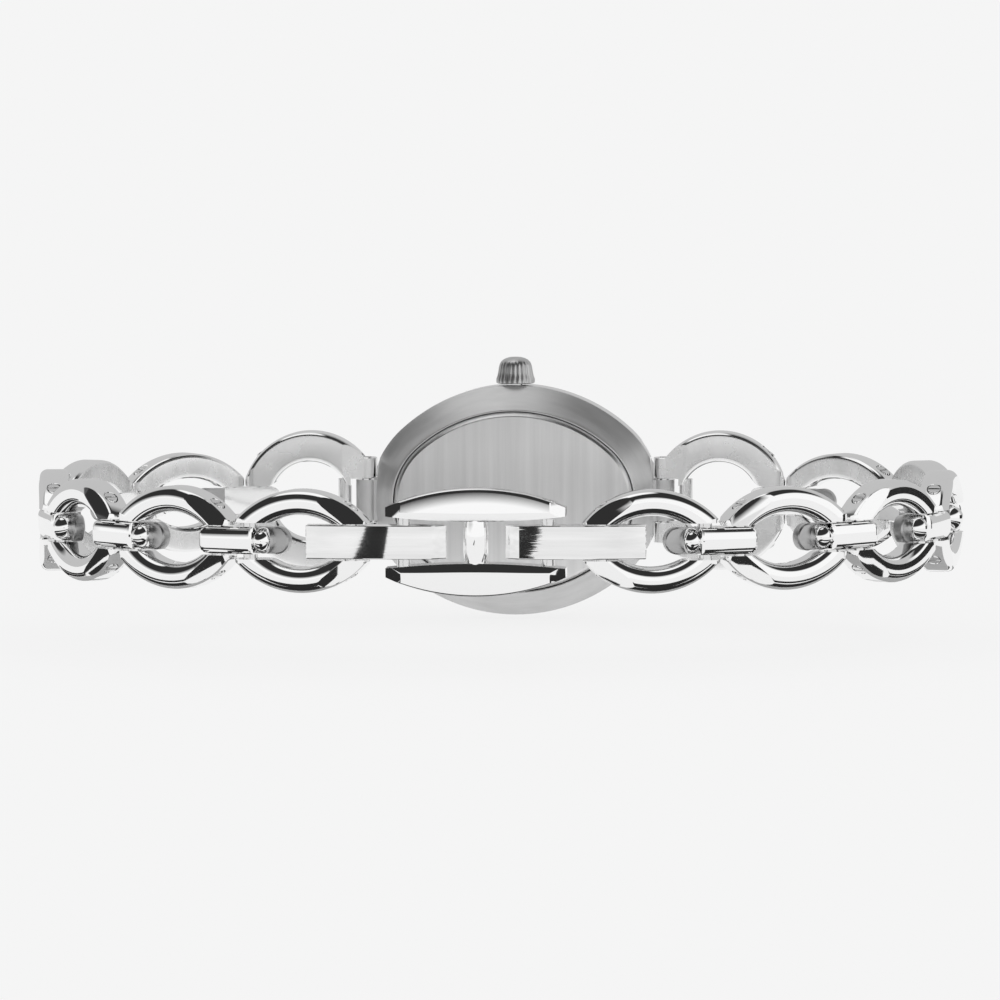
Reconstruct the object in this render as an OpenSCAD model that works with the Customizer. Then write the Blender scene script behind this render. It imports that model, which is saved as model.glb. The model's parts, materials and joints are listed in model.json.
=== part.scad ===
// Ladies' cocktail watch: an oval steel case on an open chain bracelet with a frame clasp.
// X runs from 6 to 12 o'clock, Z runs towards the crown at 3 o'clock, and the dial faces +Y.
// The origin is the centre of the outer face of the case back.

/* [Case] */
// Length of the case from 6 to 12 o'clock
case_len = 21.2; // [20:0.1:24]
// Width of the case from 9 to 3 o'clock
case_w = 16.8; // [15.6:0.1:18]
// Radius of the case's two end arcs
case_end_r = 7; // [6.4:0.1:7.4]
// Thickness of the case wall
case_wall = 2.6; // [2.3:0.05:2.8]
// Height of the case middle above the case back
case_h = 4.6; // [4.5:0.05:5]
// Height where the back bevel of the case ends
case_bevel_h = 1.9; // [1.6:0.05:2.2]
// Thickness of the case back
back_t = 0.8; // [0.7:0.05:0.9]
// Distance of the case back's edge from the case outline
back_inset = 1.8; // [1.6:0.05:1.9]
// Height of the bezel
bezel_h = 1.2; // [1:0.05:1.5]
// Width of the bezel seen from above
bezel_w = 1.9; // [1.6:0.05:2]
// Thickness of the crystal at its rim
crystal_t = 1; // [0.8:0.05:1.2]
// Width of the bevel round the crystal
crystal_bevel = 0.5; // [0.2:0.05:0.8]
// Thickness of the gaskets
gasket_t = 0.25; // [0.2:0.01:0.28]

/* [Movement and dial] */
// Height of the main plate's lower face above the case back
plate_z = 2.3; // [2.25:0.05:2.4]
// Thickness of the main plate
plate_t = 0.7; // [0.6:0.05:0.75]
// Thickness of the dial
dial_t = 0.3; // [0.2:0.05:0.35]
// Gap between the main plate and the dial, for the motion work
dial_gap = 0.75; // [0.72:0.01:0.8]
// Thickness of the two hands
hand_t = 0.12; // [0.08:0.01:0.15]
// Length of the minute hand
minute_len = 4.2; // [3.5:0.1:4.4]
// Length of the hour hand
hour_len = 2.9; // [2.2:0.1:3.4]
// Diameter of the battery
battery_d = 5.8; // [5:0.1:6]
// Thickness of the battery
battery_t = 1.6; // [1.2:0.05:1.65]
// Distance between the centre post and the minute wheel post
train_step = 2.4; // [2.3:0.05:2.6]

/* [Crown] */
// Diameter of the crown
crown_d = 2.8; // [2.4:0.1:3.2]
// Height of the crown
crown_h = 1.75; // [1.5:0.05:2]
// Height of the stem's axis above the case back
stem_z = 2.9; // [2.85:0.01:2.95]
// Diameter of the stem
stem_d = 0.6; // [0.5:0.05:0.65]
// Pull of the crown for setting the hands
crown_pull = 0.8; // [0.5:0.05:0.9]

/* [Lugs] */
// Distance of the lug axis from the centre of the case
lug_x = 10.9; // [10.8:0.05:11.3]
// Height of the lug axis above the case back
lug_y = 2.2; // [2.1:0.05:2.4]
// Radius of the lug knuckles
lug_r = 0.78; // [0.7:0.01:0.85]
// Length of the case's own knuckle
lug_len = 3; // [2:0.1:3.4]
// Diameter of the lug bars
lug_bar_d = 0.7; // [0.6:0.05:0.8]

/* [First link] */
// Distance from the lug axis to the pin of the first link
first_len = 7.6; // [7.2:0.1:8.5]
// Height of the first link
first_h = 10.1; // [9:0.1:11]
// Width of the first link's arms
first_arm_w = 2.2; // [1.8:0.1:2.4]
// Thickness of the first link
first_t = 2.4; // [2.2:0.1:2.6]

/* [Links] */
// Distance from the bar to the pin of a link
link_len = 7.2; // [6.8:0.1:8]
// Height of a link
link_h = 7.2; // [6.8:0.1:7.8]
// Width of a link's arms
arm_w = 1.55; // [1.3:0.05:1.7]
// Thickness of a link
link_t = 2.15; // [2:0.05:2.3]
// Height of a link's blunt tips
tip_h = 2.7; // [2.5:0.1:3]
// Length of an arm past its pin
tip_over = 1.3; // [1.2:0.05:1.35]
// Bevel along the front edges of the arms
arm_bevel = 0.3; // [0.1:0.05:0.4]
// Slope of the facet at the pinned end
facet_tilt = 16; // [8:1:18]
// Length of the facet before the pin
facet_run = 1.6; // [1:0.1:1.8]
// Diameter of the pins
pin_d = 0.9; // [0.8:0.05:0.95]
// Diameter of the bar at the closed end of a link
bar_d = 1; // [0.9:0.05:1.05]

/* [Connectors] */
// Distance between the two holes of a connector
conn_len = 2.5; // [2.45:0.05:2.8]
// Height of a connector
conn_h = 1.9; // [1.7:0.05:2]
// Thickness of a connector
conn_t = 1.9; // [1.8:0.05:2]
// Length of a connector past the pin
conn_pin_over = 1.1; // [1:0.05:1.3]
// Length of a connector past the bar
conn_bar_over = 1.65; // [1.2:0.05:1.8]

/* [Clasp] */
// Distance between the two pivots of the clasp frame
clasp_span = 10; // [9.4:0.1:10.6]
// Length of the clasp frame
clasp_len = 12.5; // [12.2:0.1:13]
// Height of the clasp frame
clasp_h = 7.5; // [7:0.1:8]
// Thickness of the clasp frame
clasp_t = 2.2; // [2:0.05:2.4]
// Half the opening between the two plates at mid length
clasp_gap = 1.45; // [1.4:0.05:1.6]
// Radius of the plates' outer edge
plate_outer_r = 21; // [18:0.5:30]
// Radius of the plates' inner edge
plate_inner_r = 56; // [45:1:80]
// Diameter of the clasp frame's cross bar
cross_d = 1.76; // [1.5:0.01:1.9]
// Distance between the two pivots of a blade
blade_pitch = 3.7; // [3.5:0.05:4]
// Length of a blade past its link pin
blade_link_over = 3.1; // [2.5:0.1:3.4]
// Length of a blade past its clasp pivot
blade_clasp_over = 2.95; // [2.4:0.05:3.2]
// Height of a blade
blade_h = 2.35; // [2.1:0.05:2.4]
// Thickness of a blade
blade_t = 1.5; // [1.4:0.05:1.7]
// Diameter of the clasp pins and catch studs
clasp_pin_d = 0.95; // [0.8:0.05:1]

/* [Shape of the closed loop] */
// Share of the chain's length over which it turns
turn_share = 0.93; // [0.85:0.01:1]

/* [Clearances] */
// Gap beside each moving piece in its slot
slot_gap = 0.1; // [0.05:0.01:0.15]
// Radial clearance of a moving pin
run_gap = 0.05; // [0.03:0.01:0.08]
// Radial clearance of a pressed pin or part
press_gap = 0.01; // [0.005:0.005:0.03]
// Gap between the catch studs and the clasp frame
catch_gap = 0.05; // [0.03:0.01:0.1]

/* [Hidden] */
$fn = 64;
steel = [0.80, 0.81, 0.82];
steel_dark = [0.62, 0.63, 0.65];
brushed = [0.72, 0.73, 0.74];
brass_tint = [0.80, 0.68, 0.38];
dial_tint = [0.93, 0.93, 0.90];

// Oval case outline made of four arcs
half_len = case_len / 2;
half_w = case_w / 2;
end_cx = half_len - case_end_r;
side_less = half_w - case_end_r;
side_cy = (end_cx * end_cx - side_less * side_less) / (2 * side_less);
side_r = half_w + side_cy;
arc_split = atan2(side_cy, end_cx);

// Edges of the case middle and the bezel
back_rim_w = 0.12;
back_rim_h = 0.15;
case_chamfer = 0.4;
bezel_foot_h = 0.3;
bezel_top_w = 0.6;
bezel_rim_inset = 0.5;

// Heights and outlines in the head, measured from the case back and the case's outline
ledge_z = back_t + gasket_t;
bezel_top = case_h + bezel_h;
seat_h = 0.35;
seat_z = case_h + seat_h;
gasket_drop = 0.1;
opening_inset = bezel_rim_inset + bezel_w;
seat_w = 0.7;
seat_inset = opening_inset + seat_w;
crystal_inset = opening_inset + gasket_t + 2 * press_gap;
cavity_inset = case_wall + run_gap;
plate_top = plate_z + plate_t;
dial_z = plate_top + dial_gap;
dial_top = dial_z + dial_t;
hand_gap = 0.15;
hour_z = dial_top + hand_gap;
minute_z = hour_z + hand_t + hand_gap;
pinion_z = plate_top + run_gap;
wheel_t = 0.25;
wheel_gap = 0.1;
hour_wheel_z = pinion_z + wheel_t + wheel_gap;

// Case back: its edge bevel and the ring that centres it in the case
back_bevel = 0.3;
back_ring_w = 0.4;
back_ring_h = 0.9;

// Hour markers stand a little inside the bezel's opening
marker_len = 1.1;
marker_t = 0.12;
marker_wide = 0.34;
marker_slim = 0.2;
marker_far_gap = 2;
marker_side_gap = 1.6;

// Movement: plate, board, battery, coil and bridge inside the holder ring
holder_w = 0.75;
plate_inset = cavity_inset + holder_w + 0.1;
board_t = 0.2;
board_z = plate_z - board_t;
battery_gap = 0.15;
battery_x = -half_len + cavity_inset + battery_d / 2 + 1.3;
coil_r = 0.42;
coil_core_r = 0.3;
coil_len = case_len / 5;
coil_core_over = 0.5;
coil_x = case_len / 10;
coil_y = half_w - cavity_inset - back_ring_w - coil_r - 1.43;
bridge_t = 0.2;
bridge_z = ledge_z + 0.12;
bridge_len = case_len * 0.22;
bridge_w = case_w / 4;
bridge_x = case_len / 18;
bridge_y = -case_w * 0.155;
bridge_post_r = 0.35;
bridge_post_in = 0.6;

// The hands stand at eight minutes past ten
hour_angle = -304;
minute_angle = -48;

// Motion work
cannon_teeth = 10;
minute_teeth = 30;
pinion_teeth = 8;
hour_teeth = 32;
mesh_gap = 0.12;
cannon_r = (train_step - mesh_gap) * cannon_teeth / (cannon_teeth + minute_teeth);
minute_wheel_r = train_step - mesh_gap - cannon_r;
minute_pinion_r = (train_step - mesh_gap) * pinion_teeth / (pinion_teeth + hour_teeth);
hour_wheel_r = train_step - mesh_gap - minute_pinion_r;
cannon_tube_r = 0.4;
hour_tube_r = cannon_tube_r + run_gap + 0.2;
post_r = 0.2;

// Crown and stem
stem_r = stem_d / 2;
tube_wall = 0.3;
tube_r = stem_r + run_gap + tube_wall;
crown_foot = half_w + 0.22;
tube_over = 0.55;
tube_top = half_w + tube_over;
crown_hollow = 0.6;
stem_in_crown = 1.2;
lever_t = 0.3;
lever_w = 1.4;
lever_h = 0.8;
lever_gap = 0.15;
stem_slot_w = lever_w + 2 * lever_gap;
stem_slot_h = lever_h + 2 * lever_gap;
lever_at = half_w - cavity_inset - holder_w - crown_pull - 0.6;
stem_past_lever = 1;
stem_end = lever_at - stem_past_lever;
groove_r = stem_r - 0.1;

// Lugs
lug_groove_gap = 0.27;
knuckle_gap = 0.15;
lug_neck_h = 1.1;
lug_neck_over = 0.4;

// Chain: a side's members run from the case outwards, with seven links on each side
links = 7;
pitch_list = concat(
    [first_len],
    [for (k = [2:links]) each [conn_len, link_len]],
    [blade_pitch]);
members = len(pitch_list);
function sum_to(list, n, i = 0) = i >= n ? 0 : list[i] + sum_to(list, n, i + 1);
chain_len = sum_to(pitch_list, members);
function middle_of(i) = (sum_to(pitch_list, i) + pitch_list[i] / 2) / chain_len;
function turn_at(i, power) = 1 - pow(min(1, (1 - middle_of(i)) / turn_share), power);
function heading(i, power) = -180 * turn_at(i, power);
function end_x(power) =
    lug_x + sum_to([for (i = [0:members - 1]) pitch_list[i] * cos(heading(i, power))], members);
// The power is found by halving a range until the chain ends at the clasp's pivot
function solve(low, high, steps) =
    let (mid = (low + high) / 2)
    steps == 0 ? mid :
    end_x(mid) > clasp_span / 2 ? solve(mid, high, steps - 1) : solve(low, mid, steps - 1);
turn_power = end_x(0.7) > end_x(2.5) ? solve(0.7, 2.5, 40) : solve(2.5, 0.7, 40);
headings = [for (i = [0:members - 1]) heading(i, turn_power)];
function pivot(i) =
    [lug_x + sum_to([for (k = [0:members - 1]) pitch_list[k] * cos(headings[k])], i),
     lug_y + sum_to([for (k = [0:members - 1]) pitch_list[k] * sin(headings[k])], i)];
pivots = [for (i = [0:members]) pivot(i)];
clasp_y = pivots[members][1];

// Links
bar_grip = 0.3;
pin_slot_w = 0.16;
pin_slot_h = 0.18;
pin_inset = 0.05;
link_drop = (pow((link_len + link_t / 2 + tip_over) / 2, 2) + pow(tip_h / 2, 2) - pow(link_h / 2, 2))
    / (link_h - tip_h);
slot_h = conn_h / 2 + slot_gap;
blade_slot_h = blade_h / 2 + slot_gap;
pin_r = pin_d / 2;
bar_r = bar_d / 2;

// Clasp
clasp_pin_r = clasp_pin_d / 2;
cross_grip = 0.25;
stud_from = 0.35;
spring_r = 0.3;
spring_wall = 0.1;
plate_cz = clasp_h / 2 - plate_outer_r;
function plate_outer_z(x) = plate_cz + sqrt(pow(plate_outer_r, 2) - x * x);
function plate_inner_z(x) = clasp_gap + plate_inner_r - sqrt(pow(plate_inner_r, 2) - x * x);

// Oval shapes of the head, drawn with the dial upwards

module oval(inset) {
    for (side = [-1, 1]) {
        translate([side * end_cx, 0]) circle(r = case_end_r - inset);
    }
    intersection() {
        translate([0, -side_cy]) circle(r = side_r - inset);
        translate([0, side_cy]) circle(r = side_r - inset);
        square([2 * end_cx * (side_r - inset) / (side_r - case_end_r), case_w], center = true);
    }
}

module oval_plate(inset, z, t) {
    translate([0, 0, z]) linear_extrude(t) oval(inset);
}

module oval_tube(outer, inner, z, t) {
    translate([0, 0, z]) linear_extrude(t) difference() {
        oval(outer);
        oval(inner);
    }
}

// Turns an edge profile into a solid disc; the profile's x is measured from radius r outwards
module turned(r, edge) {
    rotate_extrude() polygon(concat(
        [[0, edge[0][1]]], [for (p = edge) [r + p[0], p[1]]], [[0, edge[len(edge) - 1][1]]]));
}

// A solid with the case's oval outline and the given edge profile
module oval_solid(edge) {
    reach = 2 * case_len;
    across = end_cx + reach * cos(arc_split);
    up = reach * sin(arc_split);
    for (side = [-1, 1]) translate([side * end_cx, 0, 0]) turned(case_end_r, edge);
    intersection() {
        translate([0, -side_cy, 0]) turned(side_r, edge);
        translate([0, side_cy, 0]) turned(side_r, edge);
        linear_extrude(4 * case_h, center = true) polygon([
            [end_cx, 0], [across, up], [-across, up], [-end_cx, 0], [-across, -up], [across, -up]]);
    }
}

// Stands the head up: its top faces +Y and its 3 o'clock side +Z
module head() {
    rotate([-90, 0, 0]) children();
}

module along_stem(from, to, r) {
    translate([0, -from, stem_z]) rotate([90, 0, 0]) cylinder(r = r, h = to - from);
}

module at_lugs() {
    for (side = [-1, 1]) translate([side * lug_x, lug_y, 0]) children();
}

module case_body() {
    lug_groove_r = lug_r + lug_groove_gap;
    knuckle_room = first_knuckle_top() + knuckle_gap;
    color(steel) {
        difference() {
            head() difference() {
                oval_solid([[-back_inset + back_rim_w, back_rim_h], [0, case_bevel_h],
                            [0, case_h - case_chamfer], [-case_chamfer, case_h]]);
                oval_plate(case_wall, back_t, case_h + 1);
                oval_plate(back_inset, -1, ledge_z + 1);
            }
            at_lugs() cylinder(r = lug_groove_r, h = 2 * knuckle_room, center = true);
            head() along_stem(half_w - case_wall - 1, half_w + 1, tube_r);
        }
        for (side = [-1, 1]) difference() {
            translate([side * lug_x, lug_y, 0]) union() {
                cylinder(r = lug_r, h = lug_len, center = true);
                translate([-side * lug_groove_r / 2, 0, 0])
                    cube([lug_groove_r + lug_neck_over, lug_neck_h, lug_len], center = true);
            }
            translate([side * lug_x, lug_y, 0])
                cylinder(r = lug_bar_d / 2 + press_gap, h = lug_len + 1, center = true);
        }
    }
}

module bezel() {
    color(steel) head() difference() {
        oval_solid([[-bezel_rim_inset, case_h], [-bezel_rim_inset, case_h + bezel_foot_h],
                    [-opening_inset + bezel_top_w, bezel_top]]);
        oval_plate(opening_inset, seat_z, bezel_h);
        oval_plate(seat_inset, case_h - 1, bezel_h + 1);
    }
}

module crystal() {
    edge_h = crystal_t - crystal_bevel / 2;
    color([0.85, 0.92, 0.95, 0.4]) head() oval_solid([
        [-crystal_inset, seat_z], [-crystal_inset, seat_z + edge_h],
        [-crystal_inset - crystal_bevel, seat_z + crystal_t]]);
}

module crystal_gasket() {
    color("dimgray") head()
        oval_tube(opening_inset + press_gap, crystal_inset - press_gap, seat_z,
            bezel_h - seat_h - gasket_drop);
}

module dial() {
    color(dial_tint) head() difference() {
        oval_plate(cavity_inset, dial_z, dial_t);
        translate([0, 0, dial_z - 1]) cylinder(r = hour_tube_r + run_gap, h = 3);
    }
}

module hour_markers() {
    far = half_len - opening_inset - marker_far_gap;
    near = half_w - opening_inset - marker_side_gap;
    color(steel) head() for (hour = [0:11]) {
        angle = -30 * hour;
        reach = 1 / sqrt(pow(cos(angle) / far, 2) + pow(sin(angle) / near, 2));
        rotate([0, 0, angle]) translate([reach - marker_len / 2, 0, dial_top + marker_t / 2])
            cube([marker_len, hour % 3 == 0 ? marker_wide : marker_slim, marker_t], center = true);
    }
}

module movement_holder() {
    from_z = back_t + back_ring_h + gasket_t;
    color("whitesmoke") head() difference() {
        oval_tube(cavity_inset, cavity_inset + holder_w, from_z, dial_z - from_z);
        along_stem(half_w - cavity_inset - 2 * holder_w, half_w, tube_r + run_gap);
    }
}

module main_plate() {
    color(brass_tint) head() {
        difference() {
            oval_plate(plate_inset, plate_z, plate_t);
            battery_hole();
            stem_slot(stem_z);
        }
        translate([0, 0, plate_z]) cylinder(r = post_r, h = dial_z - plate_z);
        translate([train_step, 0, plate_z]) cylinder(r = post_r, h = hour_wheel_z + wheel_t - plate_z);
    }
}

module battery_place(z) {
    translate([battery_x, 0, z]) children();
}

module battery_hole() {
    battery_place(board_z - 1) cylinder(d = battery_d + 2 * battery_gap, h = plate_t + board_t + 2);
}

module stem_slot(z) {
    slot_len = half_w - stem_end + 0.3;
    translate([0, -half_w, z]) cube([stem_slot_w, 2 * slot_len, stem_slot_h], center = true);
}

module battery() {
    color("silver") head() battery_place(ledge_z + 0.1) {
        cylinder(d = battery_d, h = battery_t * 0.75);
        cylinder(d = battery_d - 1, h = battery_t);
    }
}

module circuit_board() {
    color("darkgreen") head() difference() {
        oval_plate(plate_inset + 0.1, board_z, board_t);
        battery_hole();
        stem_slot(plate_z);
    }
}

module coil() {
    color("chocolate") head() translate([coil_x, coil_y, board_z - coil_r - 0.03]) rotate([0, 90, 0]) {
        cylinder(r = coil_r, h = coil_len, center = true);
        cylinder(r = coil_core_r, h = coil_len + 2 * coil_core_over, center = true);
    }
}

module train_bridge() {
    color(steel_dark) head() translate([bridge_x, bridge_y, bridge_z]) {
        cube([bridge_len, bridge_w, bridge_t]);
        for (x = [bridge_post_in, bridge_len - bridge_post_in])
            for (y = [bridge_post_in, bridge_w - bridge_post_in])
                translate([x, y, 0]) cylinder(r = bridge_post_r, h = board_z - bridge_z);
    }
}

module case_back() {
    inset = back_inset + run_gap;
    color(steel) head() {
        oval_solid([[-inset - back_bevel, 0], [-inset, back_bevel], [-inset, back_t]]);
        oval_tube(cavity_inset, cavity_inset + back_ring_w, back_t, back_ring_h);
    }
}

module back_gasket() {
    color("black") head() oval_tube(back_inset + 0.15, case_wall - 0.1, back_t, gasket_t);
}

module crown_tube() {
    color(steel_dark) head() difference() {
        along_stem(half_w - case_wall, tube_top, tube_r - press_gap);
        along_stem(0, half_w + 2, stem_r + run_gap);
    }
}

module lug_bars() {
    color(steel) at_lugs()
        cylinder(r = lug_bar_d / 2, h = 2 * (first_knuckle_top() - knuckle_gap), center = true);
}

module setting_lever() {
    color(steel_dark) head() difference() {
        translate([0, -lever_at, stem_z]) cube([lever_w, lever_t, lever_h], center = true);
        along_stem(lever_at - 1, lever_at + 1, groove_r + run_gap);
        translate([0, -lever_at, stem_z - 0.5])
            cube([2 * (groove_r + run_gap), lever_t + 1, 1], center = true);
    }
}

module stem() {
    groove_t = lever_t + 2 * run_gap;
    color(steel) head() {
        along_stem(stem_end, lever_at - groove_t / 2, stem_r);
        along_stem(stem_end, crown_foot + stem_in_crown, groove_r);
        along_stem(lever_at + groove_t / 2, crown_foot + stem_in_crown, stem_r);
    }
}

module crown() {
    flutes = 24;
    crown_r = crown_d / 2;
    cup_r = tube_r + 0.12;
    hole_top = stem_in_crown + press_gap;
    color(steel) head() translate([0, 0, stem_z]) rotate([90, 0, 0]) difference() {
        translate([0, 0, crown_foot]) rotate_extrude() polygon([
            [stem_r + press_gap, crown_hollow], [cup_r, crown_hollow], [cup_r, 0], [crown_r, 0],
            [crown_r, 0.25], [crown_r - 0.12, crown_h - 0.4], [crown_r - 0.55, crown_h],
            [0, crown_h + 0.06], [0, hole_top], [stem_r + press_gap, hole_top]]);
        for (k = [0:flutes - 1]) rotate([0, 0, k * 360 / flutes])
            translate([crown_r + 0.04, 0, crown_foot - 0.1])
                cylinder(r = 0.12, h = crown_h - 0.2, $fn = 16);
    }
}

function tooth_radius(r, depth, phase) = phase < 0.25 || phase >= 0.75 ? r - depth : r;

module gear(teeth, r, t) {
    depth = 0.1;
    steps = teeth * 4;
    linear_extrude(t) polygon([for (i = [0:steps - 1])
        let (here = tooth_radius(r, depth, (i % 4) / 4))
        [here * cos(i * 360 / steps), here * sin(i * 360 / steps)]]);
}

module hand(length, w, z) {
    tail = 0.9;
    translate([0, 0, z]) linear_extrude(hand_t)
        polygon([[-tail, -w / 2], [0, -w], [length, -0.06], [length, 0.06], [0, w], [-tail, w / 2]]);
}

module minute_hand() {
    color(steel_dark) head() difference() {
        union() {
            translate([0, 0, pinion_z]) gear(cannon_teeth, cannon_r, wheel_t);
            translate([0, 0, pinion_z]) cylinder(r = cannon_tube_r, h = minute_z + hand_t - pinion_z + 0.08);
            rotate([0, 0, minute_angle]) hand(minute_len, 0.26, minute_z);
        }
        translate([0, 0, pinion_z - 1])
            cylinder(r = post_r + run_gap, h = dial_z + run_gap - pinion_z + 1);
    }
}

module hour_hand() {
    color(steel_dark) head() difference() {
        union() {
            translate([0, 0, hour_wheel_z]) gear(hour_teeth, hour_wheel_r, wheel_t);
            translate([0, 0, hour_wheel_z]) cylinder(r = hour_tube_r, h = hour_z + hand_t - hour_wheel_z);
            rotate([0, 0, hour_angle]) hand(hour_len, 0.34, hour_z);
        }
        translate([0, 0, hour_wheel_z - 1]) cylinder(r = cannon_tube_r + run_gap, h = 4);
    }
}

module minute_wheel() {
    color(brass_tint) head() translate([train_step, 0, 0]) difference() {
        union() {
            translate([0, 0, pinion_z]) gear(minute_teeth, minute_wheel_r, wheel_t);
            translate([0, 0, pinion_z])
                gear(pinion_teeth, minute_pinion_r, hour_wheel_z + wheel_t - pinion_z);
        }
        translate([0, 0, pinion_z - 1]) cylinder(r = post_r + run_gap, h = 4);
    }
}

// Chain members, drawn from their first pivot along +X with the outside of the loop at +Y

module place(side, member) {
    mirror([side < 0 ? 1 : 0, 0, 0])
        translate([pivots[member][0], pivots[member][1], 0]) rotate([0, 0, headings[member]]) children();
}

module both_arms() {
    for (flip = [0, 1]) mirror([0, 0, flip]) children();
}

// One arm: a bevelled ring about an axis across the link, cut off above the slot
module arm(centre_x, drop, outer_r, w, t, slot) {
    bevel_in = arm_bevel * 0.6;
    intersection() {
        translate([centre_x, 0, -drop]) rotate([-90, 0, 0]) rotate_extrude($fn = 96) polygon([
            [outer_r - w, -t / 2], [outer_r, -t / 2], [outer_r, t / 2 - arm_bevel],
            [outer_r - arm_bevel, t / 2], [outer_r - w + bevel_in, t / 2], [outer_r - w, t / 2 - bevel_in]]);
        translate([centre_x - outer_r, -t, slot]) cube([2 * outer_r, 2 * t, 2 * outer_r]);
    }
}

// Seen along Z a link has round ends, so that neighbours clear each other as they bend
module link_plan(length, end_r, over, t) {
    circle(r = end_r);
    translate([0, -t / 2]) square([length, t]);
    translate([length, 0]) intersection() {
        circle(r = over);
        square([2 * over, t], center = true);
    }
}

module facet_cut(length, t) {
    size = 20;
    translate([length - facet_run, t / 2, 0]) rotate([0, 0, -facet_tilt])
        translate([0, 0, -size / 2]) cube([size, size, size]);
}

module pin_through(at, half, r) {
    translate([at, 0, 0]) difference() {
        cylinder(r = r, h = 2 * half, center = true);
        both_arms() translate([0, 0, half])
            cube([pin_slot_w, 3 * r, 2 * pin_slot_h], center = true);
    }
}

module link(slot) {
    end_r = link_t / 2;
    centre_x = (link_len + tip_over - end_r) / 2;
    outer_r = link_h / 2 + link_drop;
    half_at_pin = sqrt(pow(outer_r, 2) - pow(link_len - centre_x, 2)) - link_drop;
    difference() {
        union() {
            both_arms() difference() {
                intersection() {
                    arm(centre_x, link_drop, outer_r, arm_w, link_t, slot_h);
                    linear_extrude(link_h) link_plan(link_len, end_r, tip_over, link_t);
                }
                facet_cut(link_len, link_t);
                translate([centre_x, -link_t, 0]) cube([link_len, 2 * link_t, slot]);
            }
            cylinder(r = bar_r, h = 2 * (slot_h + bar_grip), center = true);
        }
        translate([link_len, 0, 0]) cylinder(r = pin_r + press_gap, h = link_h, center = true);
    }
    pin_through(link_len, half_at_pin - pin_inset, pin_r);
}

function first_outer_r() = let (half = (first_len + tip_over + lug_r) / 2, tip = tip_h / 2)
    (pow(half, 2) + pow(first_h / 2 - tip, 2)) / (first_h - 2 * tip);
function first_centre_x() = (first_len + tip_over - lug_r) / 2;
function first_drop() = first_outer_r() - first_h / 2;
function first_knuckle_top() = sqrt(pow(first_outer_r(), 2) - pow(first_centre_x(), 2)) - first_drop() + 0.15;

module first_link() {
    outer_r = first_outer_r();
    centre_x = first_centre_x();
    drop = first_drop();
    half_at_pin = sqrt(pow(outer_r, 2) - pow(first_len - centre_x, 2)) - drop;
    knuckle_from = lug_len / 2 + slot_gap;
    neck = lug_r + 0.9;
    brace_r = 0.5;
    difference() {
        union() {
            both_arms() difference() {
                intersection() {
                    arm(centre_x, drop, outer_r, first_arm_w, first_t, slot_h);
                    linear_extrude(first_h) union() {
                        circle(r = lug_r);
                        polygon([[0, -lug_r], [neck, -first_t / 2], [first_len, -first_t / 2],
                                 [first_len, first_t / 2], [neck, first_t / 2], [0, lug_r]]);
                        translate([first_len, 0]) intersection() {
                            circle(r = tip_over);
                            square([2 * tip_over, first_t], center = true);
                        }
                    }
                }
                facet_cut(first_len, first_t);
                translate([-lug_r - 1, -first_t, 0])
                    cube([lug_r + 1 + lug_r + 0.3, 2 * first_t, knuckle_from]);
            }
            both_arms() translate([0, 0, knuckle_from])
                cylinder(r = lug_r, h = first_knuckle_top() - knuckle_from);
            translate([lug_r + 0.3 + brace_r, 0, 0])
                cylinder(r = brace_r, h = 2 * slot_h + 1, center = true);
        }
        translate([first_len, 0, 0]) cylinder(r = pin_r + press_gap, h = first_h, center = true);
        cylinder(r = lug_bar_d / 2 + run_gap, h = first_h, center = true);
    }
    pin_through(first_len, half_at_pin - pin_inset, pin_r);
}

// A connector's first hole turns on a pin and its second on a link's bar
module connector() {
    end_r = conn_t / 2;
    from = -conn_pin_over;
    to = conn_len + conn_bar_over;
    side_r = conn_h / 2;
    difference() {
        intersection() {
            linear_extrude(conn_h, center = true) {
                translate([from + end_r, 0]) circle(r = end_r);
                translate([to - end_r, 0]) circle(r = end_r);
                translate([from + end_r, -end_r]) square([to - from - 2 * end_r, conn_t]);
            }
            rotate([90, 0, 0]) linear_extrude(conn_t, center = true) {
                translate([from + side_r, 0]) circle(r = side_r);
                translate([to - side_r, 0]) circle(r = side_r);
                translate([from + side_r, -side_r]) square([to - from - 2 * side_r, conn_h]);
            }
        }
        cylinder(r = pin_r + run_gap, h = conn_h + 1, center = true);
        translate([conn_len, 0, 0]) cylinder(r = bar_r + run_gap, h = conn_h + 1, center = true);
    }
}

module blade(clasp_bore_r) {
    length = blade_link_over + blade_pitch + blade_clasp_over;
    difference() {
        translate([-blade_link_over, -blade_t / 2, -blade_h / 2]) cube([length, blade_t, blade_h]);
        cylinder(r = pin_r + run_gap, h = blade_h + 1, center = true);
        translate([blade_pitch, 0, 0]) cylinder(r = clasp_bore_r, h = blade_h + 1, center = true);
    }
}

module chain_link(side, k) {
    color(steel) place(side, 2 * k - 2) {
        if (k == 1) first_link();
        else link(k == links ? blade_slot_h : slot_h);
    }
}

module chain_connector(side, k) {
    color(steel) place(side, 2 * k - 1) connector();
}

module left_blade() {
    color(brushed) place(-1, members - 1) blade(clasp_pin_r + run_gap);
}

module right_blade() {
    color(brushed) place(1, members - 1) blade(clasp_pin_r + run_gap);
}

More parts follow.
